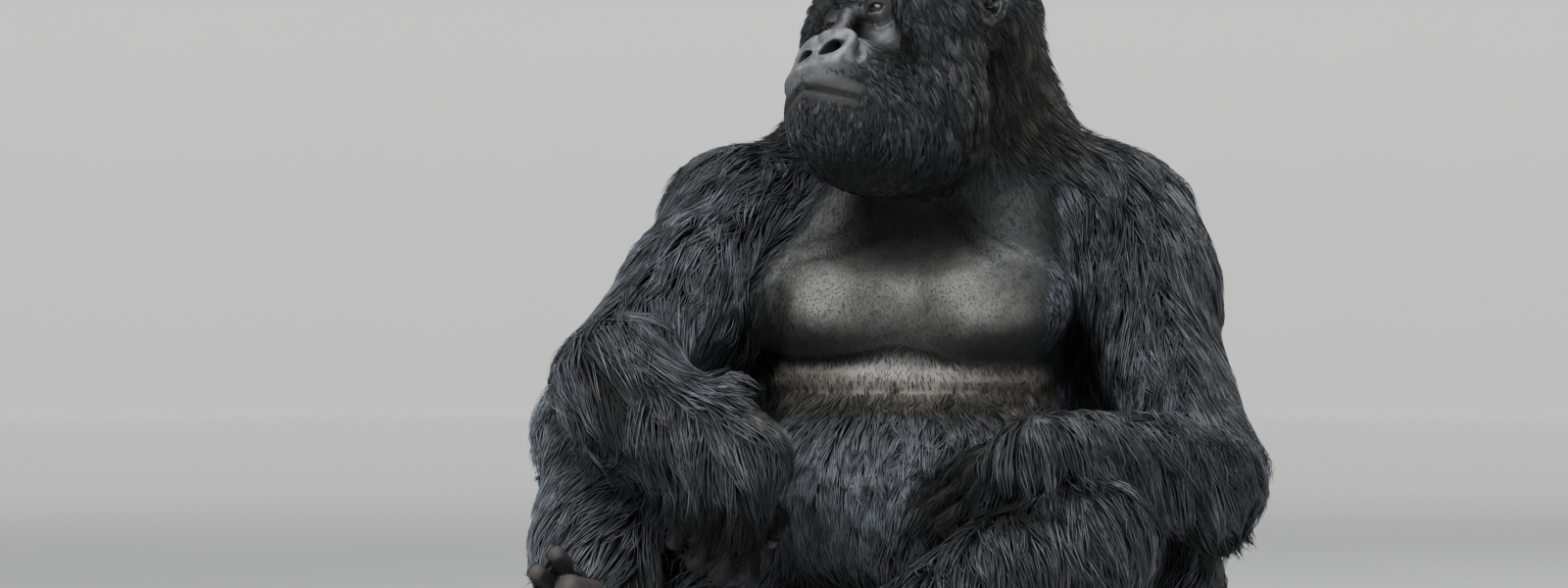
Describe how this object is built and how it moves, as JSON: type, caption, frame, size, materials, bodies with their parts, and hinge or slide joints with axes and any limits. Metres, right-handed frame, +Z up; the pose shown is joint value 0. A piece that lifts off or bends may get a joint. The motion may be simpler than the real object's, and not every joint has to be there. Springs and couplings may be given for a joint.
{
  "type": "seated gorilla model",
  "caption": "Life-size still model of an adult male mountain gorilla, seated upright with its head turned to the right and its forearms resting over its knees.",
  "frame": {"origin": "middle of the bounding box on the floor the animal sits on", "axes": "+Z up from the floor, -Y the way the seated body faces, +X towards the animal's left"},
  "size_m": [0.8894, 0.7604, 0.9506],
  "materials": {
    "coat": "long straight hair, soft sheen, near black with a blue-grey bloom; silver-grey across the back",
    "bare_skin": "bare wrinkled dark skin, satin",
    "eye": "wet gloss, dark brown"
  },
  "bodies": {
    "root": {"belly": "coat", "chest": "coat", "ear_left": "coat", "ear_right": "coat", "eye_left": "eye", "eye_right": "eye", "finger_2_left": "bare_skin", "finger_2_right": "bare_skin", "finger_3_left": "bare_skin", "finger_3_right": "bare_skin", "finger_4_left": "bare_skin", "finger_4_right": "bare_skin", "finger_5_left": "bare_skin", "finger_5_right": "bare_skin", "foot_left": "bare_skin", "foot_right": "bare_skin", "forearm_left": "coat", "forearm_right": "coat", "hallux_left": "bare_skin", "hallux_right": "bare_skin", "hand_left": "bare_skin", "hand_right": "bare_skin", "head": "coat", "neck": "coat", "rump": "coat", "shin_left": "coat", "shin_right": "coat", "thigh_left": "coat", "thigh_right": "coat", "thumb_left": "bare_skin", "thumb_right": "bare_skin", "toe_2_left": "bare_skin", "toe_2_right": "bare_skin", "toe_3_left": "bare_skin", "toe_3_right": "bare_skin", "toe_4_left": "bare_skin", "toe_4_right": "bare_skin", "toe_5_left": "bare_skin", "toe_5_right": "bare_skin", "upper_arm_left": "coat", "upper_arm_right": "coat"}
  },
  "joints": []
}
